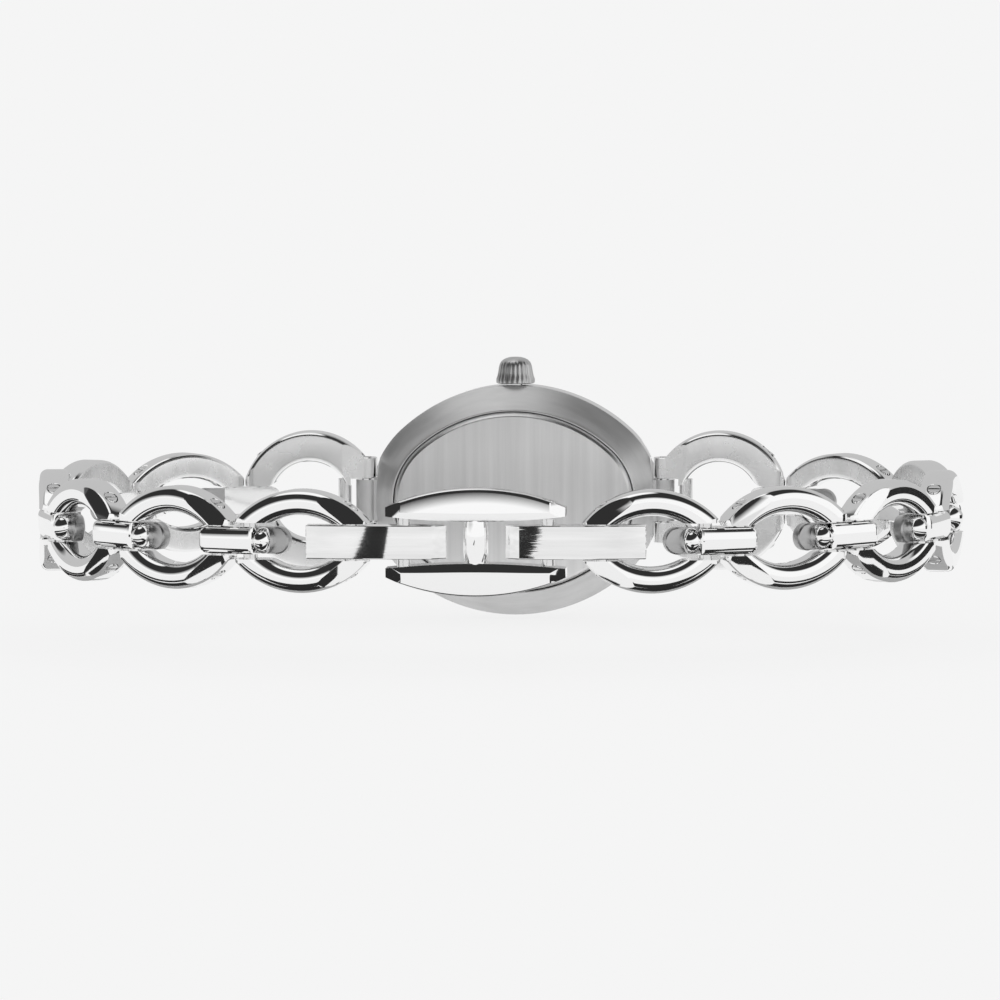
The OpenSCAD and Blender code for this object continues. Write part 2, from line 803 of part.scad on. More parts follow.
module clasp_frame() {
    bevel = 0.35;
    color(steel) translate([0, clasp_y, 0]) difference() {
        union() {
            both_arms() rotate([90, 0, 0]) linear_extrude(clasp_t, center = true) intersection() {
                translate([0, plate_cz]) circle(r = plate_outer_r, $fn = 256);
                translate([0, clasp_gap + plate_inner_r]) circle(r = plate_inner_r, $fn = 256);
                square([clasp_len, clasp_h + 1], center = true);
            }
            cylinder(r = cross_d / 2, h = 2 * (clasp_gap + cross_grip), center = true);
        }
        for (side = [-1, 1]) translate([side * clasp_span / 2, 0, 0])
            cylinder(r = clasp_pin_r + press_gap, h = clasp_h + 1, center = true);
    }
}

module clasp_pins() {
    at = clasp_span / 2;
    top = plate_outer_z(at) - 0.02;
    bottom = plate_inner_z(at) + 0.02;
    color(steel_dark) translate([0, clasp_y, 0]) {
        pin_through(-at, top, clasp_pin_r);
        both_arms() translate([at, 0, bottom]) cylinder(r = clasp_pin_r, h = top - bottom);
    }
}

module catch_studs() {
    top = plate_inner_z(clasp_span / 2) - catch_gap;
    color(steel_dark) place(1, members - 1) both_arms() translate([blade_pitch, 0, stud_from])
        cylinder(r = clasp_pin_r, h = top - stud_from);
}

module catch_spring() {
    spring_len = 2 * (stud_from - press_gap);
    color(steel_dark) place(1, members - 1) translate([blade_pitch, 0, 0]) difference() {
        cylinder(r = spring_r, h = spring_len, center = true);
        cylinder(r = spring_r - spring_wall, h = 2 * spring_len, center = true);
    }
}

case_body();
bezel();
crystal_gasket();
dial();
hour_markers();
movement_holder();
main_plate();
train_bridge();
circuit_board();
coil();
battery();
case_back();
back_gasket();
crown_tube();
lug_bars();
setting_lever();
stem();
crown();
minute_hand();
hour_hand();
minute_wheel();
for (k = [1:links]) {
    chain_link(-1, k);
    chain_link(1, k);
}
for (k = [1:links - 1]) {
    chain_connector(-1, k);
    chain_connector(1, k);
}
left_blade();
right_blade();
clasp_frame();
clasp_pins();
catch_studs();
catch_spring();
crystal();
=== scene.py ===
"""Ladies' cocktail watch on a chain bracelet: finishes, refined steel pieces, studio and camera."""
import json
import math

import bmesh
import bpy
from mathutils import Matrix, Vector

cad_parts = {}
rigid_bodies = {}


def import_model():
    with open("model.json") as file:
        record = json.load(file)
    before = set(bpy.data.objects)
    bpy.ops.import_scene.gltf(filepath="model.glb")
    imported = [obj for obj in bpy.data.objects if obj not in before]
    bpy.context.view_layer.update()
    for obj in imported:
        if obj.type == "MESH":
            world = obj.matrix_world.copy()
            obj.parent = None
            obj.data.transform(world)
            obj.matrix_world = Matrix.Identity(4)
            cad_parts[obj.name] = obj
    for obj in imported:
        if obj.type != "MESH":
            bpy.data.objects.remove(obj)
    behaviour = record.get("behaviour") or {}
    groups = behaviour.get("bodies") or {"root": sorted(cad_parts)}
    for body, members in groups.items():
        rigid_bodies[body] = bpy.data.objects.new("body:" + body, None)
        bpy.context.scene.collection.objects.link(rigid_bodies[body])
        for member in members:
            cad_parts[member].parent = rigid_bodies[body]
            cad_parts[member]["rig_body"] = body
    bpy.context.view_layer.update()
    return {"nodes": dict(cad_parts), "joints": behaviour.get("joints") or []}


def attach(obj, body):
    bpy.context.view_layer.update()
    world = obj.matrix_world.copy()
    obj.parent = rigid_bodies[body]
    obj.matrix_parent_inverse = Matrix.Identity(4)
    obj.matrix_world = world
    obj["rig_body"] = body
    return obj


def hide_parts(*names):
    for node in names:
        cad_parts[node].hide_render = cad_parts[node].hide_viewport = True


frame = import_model()
nodes = frame["nodes"]


# ---------------------------------------------------------------- shader helpers

class Value:
    """A shader socket that takes part in Python arithmetic."""

    def __init__(self, finish, socket):
        self.finish = finish
        self.socket = socket

    def math(self, operation, other):
        return self.finish.node("ShaderNodeMath", {"operation": operation}, self, other)["Value"]

    def __add__(self, other):
        return self.math("ADD", other)

    def __mul__(self, other):
        return self.math("MULTIPLY", other)


class Outputs:
    """The outputs of one node, by name."""

    def __init__(self, finish, node):
        self.finish = finish
        self.node = node

    def __getitem__(self, name):
        return Value(self.finish, named_socket(self.node.outputs, name))


def named_socket(sockets, name):
    """A socket by its identifier, such as A_Color, or by its name with underscores for blanks."""
    found = [socket for socket in sockets if socket.identifier == name]
    found += [socket for socket in sockets if socket.name == name.replace("_", " ")]
    return found[0]


def grey(level):
    return (level, level, level, 1)


class Finish:
    """A material or world whose nodes are added one call at a time."""

    def __init__(self, owner):
        owner.use_nodes = True
        self.owner = owner
        self.tree = owner.node_tree
        self.tree.nodes.clear()

    def put(self, socket, value):
        if isinstance(value, Value):
            self.tree.links.new(value.socket, socket)
        else:
            socket.default_value = value

    def node(self, kind, settings=None, *inputs, **named):
        made = self.tree.nodes.new(kind)
        for name, value in (settings or {}).items():
            setattr(made, name, value)
        for socket, value in zip(made.inputs, inputs):
            self.put(socket, value)
        for name, value in named.items():
            self.put(named_socket(made.inputs, name), value)
        return Outputs(self, made)

    def ramp(self, factor, *stops):
        """Greys between stops of (place, level)."""
        ramp = self.node("ShaderNodeValToRGB", None, factor)
        elements = ramp.node.color_ramp.elements
        while len(elements) < len(stops):
            elements.new(0.5)
        for element, (place, level) in zip(elements, stops):
            element.position = place
            element.color = grey(level)
        return ramp["Color"]

    def between(self, factor, low, high):
        """A colour from low to high as the factor rises."""
        mix = self.node("ShaderNodeMix", {"data_type": "RGBA"}, factor, A_Color=low, B_Color=high)
        return mix["Result_Color"]

    def shaded(self, factor, colour, share):
        """A colour that falls to a share of its brightness where the factor is low."""
        dark = (*(channel * share for channel in colour[:3]), 1)
        return self.between(factor, dark, colour)

    def place(self, scale=(1, 1, 1), turn=(0, 0, 0)):
        """Object coordinates, scaled and turned."""
        spot = self.node("ShaderNodeTexCoord")["Object"]
        return self.node("ShaderNodeMapping", Vector=spot, Scale=scale, Rotation=turn)["Vector"]

    def noise(self, scale, stretch=(1, 1, 1), turn=(0, 0, 0), detail=3):
        return self.node("ShaderNodeTexNoise", Vector=self.place(stretch, turn),
                         Scale=scale, Detail=detail)["Fac"]

    def bump(self, height, strength, distance):
        return self.node("ShaderNodeBump", Height=height, Strength=strength,
                         Distance=distance)["Normal"]

    def diffuse(self, level):
        return self.node("ShaderNodeBsdfDiffuse", Color=grey(level))["BSDF"]

    def emission(self, colour, strength=1.0):
        return self.node("ShaderNodeEmission", Color=colour, Strength=strength)["Emission"]

    def show(self, shader):
        self.node("ShaderNodeOutputMaterial", Surface=shader)
        return self.owner

    def surface(self, **sockets):
        return self.show(self.node("ShaderNodeBsdfPrincipled", **sockets)["BSDF"])


def finish(name):
    return Finish(bpy.data.materials.new(name))


# ---------------------------------------------------------------- finishes

def polished(name, level, rough):
    """Mirror-polished steel with faint handling haze and hairline scratches."""
    f = finish(name)
    haze = f.noise(900, detail=4)
    hairlines = f.noise(2600, stretch=(1, 0.08, 1), turn=(0.4, 0.2, 0.7), detail=2)
    return f.surface(Base_Color=grey(level), Metallic=1.0, Roughness=haze * 0.05 + rough,
                     Normal=f.bump(hairlines, strength=0.04, distance=0.00001))


def brushed(name, level, rough, stretch, depth=0.25, spread=0.1, metallic=1.0):
    """Steel brushed in one direction."""
    f = finish(name)
    grain = f.noise(1500, stretch, detail=5)
    fine = f.noise(5200, stretch, detail=2)
    return f.surface(Base_Color=f.ramp(grain, (0.3, level * 0.84), (0.7, level)),
                     Metallic=metallic, Roughness=grain * spread + rough,
                     Normal=f.bump(fine + grain, depth, distance=0.00003))


def cast(name, colour, rough, metallic=0.0, scale=1200, depth=0.1):
    """A plain moulded, painted or plated finish with a fine grain."""
    f = finish(name)
    grain = f.noise(scale, detail=4)
    return f.surface(Base_Color=f.shaded(grain, colour, 0.82), Metallic=metallic,
                     Roughness=grain * 0.15 + rough,
                     Normal=f.bump(grain, depth, distance=0.00002))


def sunray(name, colour):
    """A dial face brushed outwards from its centre."""
    f = finish(name)
    spot = f.place(turn=(math.radians(90), 0, 0))
    rays = f.node("ShaderNodeTexGradient", {"gradient_type": "RADIAL"}, Vector=spot)["Fac"]
    fine = f.node("ShaderNodeTexNoise", {"noise_dimensions": "1D"}, W=rays * 340, Scale=1.0,
                  Detail=3)["Fac"]
    return f.surface(Base_Color=f.shaded(fine, colour, 0.9), Metallic=0.35,
                     Roughness=fine * 0.12 + 0.3,
                     Normal=f.bump(fine, strength=0.15, distance=0.00002))


def glass(name):
    """Clear crystal with a trace of fine dust."""
    f = finish(name)
    dust = f.noise(4000, detail=2)
    return f.surface(Base_Color=(0.99, 0.995, 1, 1), Roughness=dust * 0.02,
                     Transmission_Weight=1.0, IOR=1.5,
                     Normal=f.bump(dust, strength=0.01, distance=0.00001))


chrome = polished("polished steel", 0.94, 0.02)
satin = brushed("satin steel", 0.84, 0.28, (1, 1, 0.03))
satin_bevel = brushed("satin bevel steel", 0.7, 0.32, (0.2, 1, 0.2), depth=0.1, metallic=0.8)
satin_inner = brushed("satin inner steel", 0.93, 0.22, (0.3, 1, 0.3), depth=0.1)
# The tongue's steel has painted shade: its level of 0.55 darkens it where it lies behind the ball.
# Its brushed grain is its own.
tongue_painted_shade_steel = brushed("tongue steel", 0.55, 0.3, (0.1, 1, 1), depth=0.1)
crown_steel = brushed("crown steel", 0.7, 0.3, (1, 1, 0.1), depth=0.1)
blade_steel = brushed("brushed steel", 0.96, 0.02, (0.03, 1, 1), depth=0.05, spread=0.03)
blade_mirror = brushed("fine brushed steel", 0.96, 0.02, (0.03, 1, 1), depth=0.01, spread=0.03)
pin_steel = polished("pin steel", 0.78, 0.1)
dial_face = sunray("silvered dial", (0.86, 0.86, 0.84, 1))
track_ink = cast("dial printing", (0.03, 0.03, 0.035, 1), 0.5)
crystal_glass = glass("crystal")
marker_steel = polished("marker steel", 0.85, 0.05)
hand_steel = polished("hand steel", 0.6, 0.08)
seal_plastic = cast("seal plastic", (0.55, 0.56, 0.56, 1), 0.4)
seal_rubber = cast("seal rubber", (0.02, 0.02, 0.02, 1), 0.6)
brass = brushed("movement brass", 0.7, 0.28, (1, 0.1, 1))
bridge_steel = brushed("bridge steel", 0.7, 0.3, (0.1, 1, 1))
board_green = cast("board lacquer", (0.03, 0.16, 0.07, 1), 0.35)
copper = cast("coil copper", (0.72, 0.33, 0.16, 1), 0.3, metallic=1.0, scale=3000, depth=0.4)
cell_steel = polished("battery steel", 0.75, 0.15)
holder_white = cast("holder plastic", (0.8, 0.8, 0.78, 1), 0.45)


# ---------------------------------------------------------------- modelling helpers

# Shapes are modelled in millimetres, and placed pieces are in metres.
MM = 0.001
X, Y, Z = Vector((1, 0, 0)), Vector((0, 1, 0)), Vector((0, 0, 1))
MIRROR = Matrix.Diagonal((-1, 1, 1, 1))

# Points nearer than WELD become one; SLACK keeps a cutting face off the face next to it.
WELD = 1e-3
SLACK = 0.01


def turned(degrees, axis, size=4):
    return Matrix.Rotation(math.radians(degrees), size, axis)


TO_THE_DIAL = turned(-90, "X")


class Outline:
    """A flat outline that one travelling vertex draws, in the plane of two directions."""

    def __init__(self, across, up, start, heading):
        self.bm = bmesh.new()
        self.across, self.up = across, up
        self.heading = math.radians(heading)
        self.end = self.bm.verts.new(self.point(start))

    def point(self, place):
        return self.across * place[0] + self.up * place[1]

    def to(self, *places):
        for place in places:
            point = self.bm.verts.new(self.point(place))
            self.bm.edges.new((self.end, point))
            self.end = point
        return self

    def go(self, length):
        ahead = self.point((math.cos(self.heading), math.sin(self.heading)))
        place = self.end.co + ahead * length
        return self.to((place.dot(self.across), place.dot(self.up)))

    def turn(self, heading):
        self.heading = math.radians(heading)
        return self

    def bend(self, radius, degrees, steps=8):
        """An arc to the left, or to the right where degrees is below zero."""
        angle = math.radians(degrees)
        side = math.copysign(1, angle)
        left = self.point((-math.sin(self.heading), math.cos(self.heading)))
        arc = bmesh.ops.spin(self.bm, geom=[self.end], cent=self.end.co + left * radius * side,
                             axis=self.across.cross(self.up), angle=angle, steps=steps,
                             use_merge=False)
        self.end = only_verts(arc["geom_last"])[0]
        self.heading += angle
        return self

    def closed(self):
        self.bm.verts.ensure_lookup_table()
        first = self.bm.verts[0]
        if (first.co - self.end.co).length > WELD:
            self.bm.edges.new((self.end, first))
        bmesh.ops.remove_doubles(self.bm, verts=self.bm.verts, dist=WELD)
        return self.bm

    def thick(self, low, high):
        """The outline as a solid between two heights along its third direction."""
        bm = self.closed()
        third = self.across.cross(self.up)
        face = bmesh.ops.contextual_create(bm, geom=bm.edges[:])["faces"]
        bmesh.ops.translate(bm, verts=bm.verts, vec=third * low)
        raised = bmesh.ops.extrude_face_region(bm, geom=face)["geom"]
        bmesh.ops.translate(bm, verts=only_verts(raised), vec=third * (high - low))
        return outward(bm)


def only_verts(geometry):
    return [part for part in geometry if isinstance(part, bmesh.types.BMVert)]


def everything(bm):
    return bm.verts[:] + bm.edges[:] + bm.faces[:]


def outward(bm):
    bmesh.ops.recalc_face_normals(bm, faces=bm.faces)
    return bm


def round_edges(bm, edges, offset, segments):
    bmesh.ops.bevel(bm, geom=edges, offset=offset, offset_type="OFFSET", segments=segments,
                    profile=0.5, affect="EDGES", material=-1)


def split(bm, place, away, clear=False):
    """Cuts the faces along a plane, and clears what lies beyond it if asked to."""
    bmesh.ops.bisect_plane(bm, geom=everything(bm), dist=1e-5, plane_co=place, plane_no=away,
                           clear_outer=clear)


def close_holes(bm):
    bmesh.ops.holes_fill(bm, edges=[edge for edge in bm.edges if edge.is_boundary], sides=0)


def shave(bm, place, away):
    """Cuts off what lies beyond a plane and closes the cut."""
    split(bm, place, away, clear=True)
    close_holes(bm)
    return bm


def sized(bm, size, place):
    """A unit shape at a size and a place."""
    bmesh.ops.transform(bm, verts=bm.verts,
                        matrix=Matrix.Translation(place) @ Matrix.Diagonal((*size, 1)))
    return bm


def block(low, high):
    bm = bmesh.new()
    bmesh.ops.create_cube(bm, size=1)
    low, high = Vector(low), Vector(high)
    return sized(bm, high - low, (low + high) / 2)


def rod(radius, low, high, at=(0, 0), segments=48):
    """A cylinder along Z."""
    bm = bmesh.new()
    bmesh.ops.create_cone(bm, cap_ends=True, segments=segments, radius1=radius, radius2=radius,
                          depth=high - low)
    bmesh.ops.translate(bm, verts=bm.verts, vec=(at[0], at[1], (low + high) / 2))
    return bm


def lathe(profile, place=Matrix.Identity(4), steps=64):
    """Turns a profile of (radius, height) points about Z, then places it."""
    bm = bmesh.new()
    line = [bm.verts.new((radius, 0, height)) for radius, height in profile]
    edges = [bm.edges.new(pair) for pair in zip(line, line[1:])]
    bmesh.ops.spin(bm, geom=line + edges, cent=(0, 0, 0), axis=Z, angle=2 * math.pi, steps=steps,
                   use_merge=True)
    bmesh.ops.remove_doubles(bm, verts=bm.verts, dist=1e-4)
    bmesh.ops.transform(bm, verts=bm.verts, matrix=place)
    return outward(bm)


def swept(section, centre, reach):
    """Carries a section round the Y axis through a centre, by a reach in degrees to each side."""
    bm = section.closed()
    bmesh.ops.translate(bm, verts=bm.verts, vec=centre)
    bmesh.ops.rotate(bm, verts=bm.verts, cent=centre, matrix=turned(-reach, "Y", 3))
    bmesh.ops.spin(bm, geom=bm.verts[:] + bm.edges[:], cent=centre, axis=Y,
                   angle=math.radians(2 * reach), steps=80, use_merge=False)
    return bm


def editable(mesh):
    bm = bmesh.new()
    bm.from_mesh(mesh)
    return bm


def loose(name, bm):
    mesh = bpy.data.meshes.new(name)
    bm.to_mesh(mesh)
    bm.free()
    thing = bpy.data.objects.new(name, mesh)
    bpy.context.scene.collection.objects.link(thing)
    return thing


def worked(name, bm, cuts=(), keeps=(), adds=(), edge=0.06, segments=2, crease=35):
    """A mesh of the shape within its keeps, less its cuts, with its adds and softened edges."""
    thing = loose(name, bm)
    groups = (("INTERSECT", keeps), ("DIFFERENCE", cuts), ("UNION", adds))
    tools = [(loose("tool", tool), operation) for operation, group in groups for tool in group]
    for tool, operation in tools:
        modifier = thing.modifiers.new("cut", "BOOLEAN")
        modifier.object = tool
        modifier.operation = operation
        modifier.solver = "EXACT"
    if edge:
        modifier = thing.modifiers.new("edge", "BEVEL")
        modifier.width = edge
        modifier.segments = segments
        modifier.limit_method = "ANGLE"
        modifier.angle_limit = math.radians(crease)
    graph = bpy.context.evaluated_depsgraph_get()
    mesh = bpy.data.meshes.new_from_object(thing.evaluated_get(graph))
    for used in [thing] + [tool for tool, operation in tools]:
        bpy.data.objects.remove(used)
    return mesh


def gathered(parts):
    """Several shapes as one."""
    bm = bmesh.new()
    for part in parts:
        mesh = bpy.data.meshes.new("part")
        part.to_mesh(mesh)
        part.free()
        bm.from_mesh(mesh)
        bpy.data.meshes.remove(mesh)
    return bm


def mirrored_pair(mesh):
    """The shape together with its mirror image below."""
    bm = editable(mesh)
    bmesh.ops.mirror(bm, geom=everything(bm), matrix=Matrix.Identity(4), merge_dist=-1, axis="Z")
    outward(bm).to_mesh(mesh)
    bm.free()
    return mesh


def set_piece(name, mesh, matrix, body, material, slot, node=None, second=None, where=None,
              crisp=13):
    """Places a copy of a mesh as one finished piece.

    Faces that pass the test given as where get the second finish. Edges sharper than crisp
    degrees stay sharp.
    """
    shape = mesh.copy()
    shape.name = name
    shape.materials.clear()
    shape.materials.append(material)
    if second:
        shape.materials.append(second)
    shape.polygons.foreach_set("material_index", [
        int(bool(second) and where(face.normal, face.center)) for face in shape.polygons])
    shape.transform(Matrix.Scale(MM, 4) @ matrix)
    if matrix.determinant() < 0:
        shape.flip_normals()
    shape.polygons.foreach_set("use_smooth", [True] * len(shape.polygons))
    shape.set_sharp_from_angle(angle=math.radians(crisp))
    piece = bpy.data.objects.new(name, shape)
    bpy.context.scene.collection.objects.link(piece)
    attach(piece, body)
    if node:
        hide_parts(node)


# ---------------------------------------------------------------- chain places

joint_place = {joint["child"]: Vector(joint["pos_m"]) / MM
               for joint in frame["joints"] if "pos_m" in joint}
members = ["link_1"]
for k in range(1, 7):
    members += [f"connector_{k}", f"link_{k + 1}"]
members += ["blade"]
pivots = [joint_place["right_" + member] for member in members]
pivots.append(MIRROR @ joint_place["clasp_frame"])


def along(i):
    """Member i of the right side: X runs along the chain and Y out of the loop."""
    ahead = (pivots[i + 1] - pivots[i]).normalized()
    out = Z.cross(ahead)
    turn = Matrix((ahead, out, Z)).transposed().to_4x4()
    return Matrix.Translation(pivots[i]) @ turn


def set_both(name, mesh, i, material, slot, replace=True, left_material=None, **more):
    """A piece of member i on both sides, which takes the place of the member's CAD node or not."""
    for side, matrix, steel in (("right", along(i), material),
                                ("left", MIRROR @ along(i), left_material or material)):
        body = f"{side}_{members[i]}"
        node = body if replace else None
        set_piece(f"{side}_{name}", mesh, matrix, body, steel, slot, node, **more)


def inside_face(normal, centre):
    return normal.y < -0.8


# ---------------------------------------------------------------- links

link_len, link_t, link_h, arm_w = 7.2, 2.15, 7.2, 1.8
tip_over, tip_h, tip_corner = 1.3, 2.7, 0.9
link_end_r = link_t / 2
link_mid = (link_len + tip_over - link_end_r) / 2
link_span = link_len + tip_over + link_end_r
link_drop = ((link_span ** 2 + tip_h ** 2 - link_h ** 2) / 4) / (link_h - tip_h)
ring_r = link_h / 2 + link_drop
slot_h, blade_slot_h = 1.05, 1.275
outer_round, inner_round, back_round, crown_tilt = 0.6, 0.7, 0.4, 11
facet_slope, facet_swing = math.radians(17), math.radians(49)
facet_back, facet_sunk, facet_z = 0.15, 0.06, 1.3

pin_r, pin_play, pin_proud, bar_r = 0.45, 0.06, 0.02, 0.5
well_from = 1.9
head_slot_w, head_slot_deep = 0.17, 0.16
head_lean = 0.8  # the share of an arm's slope that a pin's heads follow


def arm(mid, drop, radius, width, half, reach):
    """One curved arm whose front is crowned and rounded towards both edges."""
    slope = math.radians(crown_tilt)
    crown_w = width - (outer_round + inner_round) * (1 - math.sin(slope))
    crown_r = crown_w / (2 * math.sin(slope))
    crown_h = crown_r * (1 - math.cos(slope))
    outer_h = half - crown_h - outer_round * math.cos(slope)
    inner_h = half - crown_h - inner_round * math.cos(slope)
    section = Outline(Z, Y, (radius, back_round - half), 90)
    section.go(outer_h + half - back_round).bend(outer_round, 90 - crown_tilt, 10)
    section.bend(crown_r, 2 * crown_tilt, 4).bend(inner_round, 90 - crown_tilt, 10)
    section.go(inner_h + half - back_round).bend(back_round, 90, 6)
    section.go(width - 2 * back_round).bend(back_round, 90, 6)
    foot = 0.3
    return shave(swept(section, (mid, 0, -drop), reach), (0, 0, foot), -Z)


def opening(mid, drop, inner_r, floor, fillet):
    """What lies above the slot and outside the opening, which runs smoothly into the slot."""
    rise = floor + drop + fillet
    run = math.sqrt((inner_r + fillet) ** 2 - rise ** 2)
    swing = math.degrees(math.atan2(run, rise))
    near, far, top, side = -4, 12, 8, 3
    shape = Outline(X, Z, (mid - run, floor), 0)
    shape.bend(fillet, swing, 10).bend(inner_r, -2 * swing, 48).bend(fillet, swing, 10)
    shape.to((far, floor), (far, top), (near, top), (near, floor))
    return shape.thick(-side, side)


def link_plan():
    """The link's outline seen along Z, with round ends."""
    straight, round_r = link_len + tip_over - tip_corner, link_end_r + SLACK
    shape = Outline(X, Y, (0, -round_r), 0)
    shape.go(straight).bend(tip_corner, 90).go(2 * (round_r - tip_corner))
    shape.bend(tip_corner, 90).go(straight).bend(round_r, 180, 20)
    return shape.thick(0, link_h)


def facet(bm, at, half):
    """The flat that falls away towards the pinned end."""
    away = (math.sin(facet_slope) * math.cos(facet_swing), math.cos(facet_slope),
            math.sin(facet_slope) * math.sin(facet_swing))
    return shave(bm, (at - facet_back, half - facet_sunk, facet_z), away)


def pin_well(at, top):
    return rod(pin_r + pin_play, well_from, top, at=(at, 0))


def ring_mesh(floor):
    half = link_t / 2
    bm = facet(arm(link_mid, link_drop, ring_r, arm_w, half, reach=62), link_len, half)
    gap = opening(link_mid, link_drop, ring_r - arm_w - SLACK, floor, fillet=1.5)
    return mirrored_pair(worked("ring", bm, keeps=[link_plan(), gap],
                                cuts=[pin_well(link_len, link_h)], edge=0.05))


def pin_mesh(at, top, slope, radius=pin_r, bottom=0):
    """A pin with a slotted head at each end; one with a bottom height is in two parts."""
    spare = 0.6
    bm = rod(radius, -top - spare, top + spare, at=(at, 0))
    lean = slope * head_lean
    for way in (1, -1):
        shave(bm, (at, 0, way * top), (math.sin(lean), 0, way * math.cos(lean)))
    near, far, floor = at - head_slot_w / 2, at + head_slot_w / 2, top - head_slot_deep
    cuts = [block((near, -1, floor), (far, 1, top + 1)),
            block((near, -1, -top - 1), (far, 1, -floor))]
    if bottom:
        cuts.append(block((at - 1, -1, -bottom), (at + 1, 1, bottom)))
    return worked("pin", outward(bm), cuts=cuts, edge=0.03)


def end_pin(length, mid, radius, drop):
    """The pin at a link's far end, with heads that stand a little proud of the arms."""
    ahead = length - mid
    top = math.sqrt(radius ** 2 - ahead ** 2) - drop
    return pin_mesh(length, top + pin_proud, math.asin(ahead / radius))


link_ring, end_ring = ring_mesh(slot_h), ring_mesh(blade_slot_h)
link_pin = end_pin(link_len, link_mid, ring_r, link_drop)
bar_reach = slot_h + 0.3
link_bar = worked("bar", rod(bar_r, -bar_reach, bar_reach), edge=0.02)

for i in range(2, 13, 2):
    k = i // 2 + 1
    set_both(f"ring_{k}", end_ring if k == 7 else link_ring, i, chrome, "polished_steel",
             second=satin_inner, where=inside_face)
    set_both(f"pin_{k}", link_pin, i, pin_steel, "pin_steel", replace=False)
    set_both(f"bar_{k}", link_bar, i, pin_steel, "polished_steel", replace=False)


# ---------------------------------------------------------------- first links

first_len, first_h, first_t, first_arm_w = 7.6, 10.1, 2.4, 2.2
lug_r, lug_bar_r, lug_bar_play = 0.78, 0.35, 0.05
knuckle_from, knuckle_soft, brace_r = 1.6, 0.06, 0.5
brace_from = lug_r + 0.3
first_mid = (first_len + tip_over - lug_r) / 2
first_half_len = (first_len + tip_over + lug_r) / 2
first_r = (first_half_len ** 2 + (first_h / 2 - tip_h / 2) ** 2) / (first_h - tip_h)
first_drop = first_r - first_h / 2
knuckle_top = math.sqrt(first_r ** 2 - first_mid ** 2) - first_drop + 0.15


def first_plan():
    """The first link's outline seen along Z, narrower at its knuckles."""
    side, straight = first_t / 2, first_len + tip_over - tip_corner
    neck, neck_r = lug_r + 0.9, lug_r - 0.05
    shape = Outline(X, Y, (0, -neck_r), 0)
    shape.to((neck, -side), (straight, -side)).bend(tip_corner, 90)
    shape.go(first_t - 2 * tip_corner).bend(tip_corner, 90)
    shape.to((neck, side), (0, neck_r)).bend(neck_r, 180, 20)
    return shape.thick(0, first_h)


def first_mesh():
    """The first link's ring, with a knuckle on each side of the case's lug."""
    half = first_t / 2
    bm = facet(arm(first_mid, first_drop, first_r, first_arm_w, half, reach=84), first_len, half)
    gap = opening(first_mid, first_drop, first_r - first_arm_w - SLACK, slot_h, fillet=1.1)
    hole_r = lug_bar_r + lug_bar_play
    room = block((-2, -2, 0), (brace_from, 2, knuckle_from + SLACK))
    wide_hole = rod(hole_r + 0.05, -1, first_h)
    bare = worked("first", bm, keeps=[first_plan(), gap],
                  cuts=[pin_well(first_len, first_h), room, wide_hole], edge=0.05, crease=50)
    inset = lug_r - knuckle_soft
    knuckle = lathe([(hole_r, knuckle_from), (inset, knuckle_from),
                     (lug_r, knuckle_from + knuckle_soft), (lug_r, knuckle_top - knuckle_soft),
                     (inset, knuckle_top), (hole_r, knuckle_top), (hole_r, knuckle_from)])
    return mirrored_pair(worked("first", editable(bare), adds=[knuckle], edge=0))


set_both("ring_1", first_mesh(), 0, chrome, "polished_steel", second=satin_inner,
         where=inside_face)
set_both("pin_1", end_pin(first_len, first_mid, first_r, first_drop), 0, pin_steel, "pin_steel",
         replace=False)
brace_reach = slot_h + 0.5
brace = rod(brace_r, -brace_reach, brace_reach, at=(brace_from + brace_r, 0))
set_both("brace", worked("brace", brace, edge=0.02), 0, pin_steel, "polished_steel",
         replace=False)


# ---------------------------------------------------------------- connectors

conn_len, conn_half, conn_over = 2.5, 0.95, 0.5
ball_x, tongue_x = conn_len + 1.0, conn_len + 1.85
ball_size = (0.72, 0.95, 0.92)
bar_back, bar_corner, bar_rim, bar_crown_r = 1.1, 0.55, 0.34, 3.5


def front_bar():
    """The bar on the outside: round corners at its pin and a crowned face."""
    far = conn_len + conn_over
    straight = far + bar_back - bar_corner
    shape = Outline(X, Z, (far, -conn_half), 180)
    shape.go(straight).bend(bar_corner, -90).go(2 * (conn_half - bar_corner))
    shape.bend(bar_corner, -90).go(straight)
    bm = shape.thick(-conn_half, conn_half)
    front = [edge for edge in bm.edges
             if min(vert.co.y for vert in edge.verts) > conn_half - SLACK]
    round_edges(bm, front, bar_rim, 5)
    for cut in range(-3, 4):
        split(bm, (0, 0, cut * 0.22), Z)
    for vert in bm.verts:
        vert.co.y -= max(0, vert.co.y) / conn_half * vert.co.z ** 2 / (2 * bar_crown_r)
    return bm


def ball():
    """The rounded end that turns on the link's bar."""
    bm = bmesh.new()
    bmesh.ops.create_uvsphere(bm, u_segments=40, v_segments=24, radius=1)
    return sized(bm, ball_size, (ball_x, 0, 0))


def tongue():
    """The flat round end behind the ball, on the inside of the bracelet."""
    place = Matrix.Translation((tongue_x, 0, 0)) @ turned(-90, "X")
    flat = lathe([(0, -0.95), (0.85, -0.95), (0.95, -0.85), (0.95, -0.3), (0.85, -0.2),
                  (0, -0.2)], place)
    stem = block((0, -0.93, -0.92), (tongue_x, -0.22, 0.92))
    return worked("tongue", flat, adds=[stem], edge=0.04)


bar_mesh = worked("front_bar", front_bar(), adds=[ball()], edge=0.03)
tongue_mesh = tongue()
for i in range(1, 13, 2):
    k = (i + 1) // 2
    set_both(f"connector_bar_{k}", bar_mesh, i, chrome, "polished_steel")
    set_both(f"connector_tongue_{k}", tongue_mesh, i, tongue_painted_shade_steel, "brushed_steel",
             replace=False)


# ---------------------------------------------------------------- clasp blades

blade_half_t, blade_half_h, blade_from, blade_to = 0.75, 1.175, -3.1, 6.65
blade_bend_r, blade_end_r, blade_end_lean = 31, 0.55, 0.8


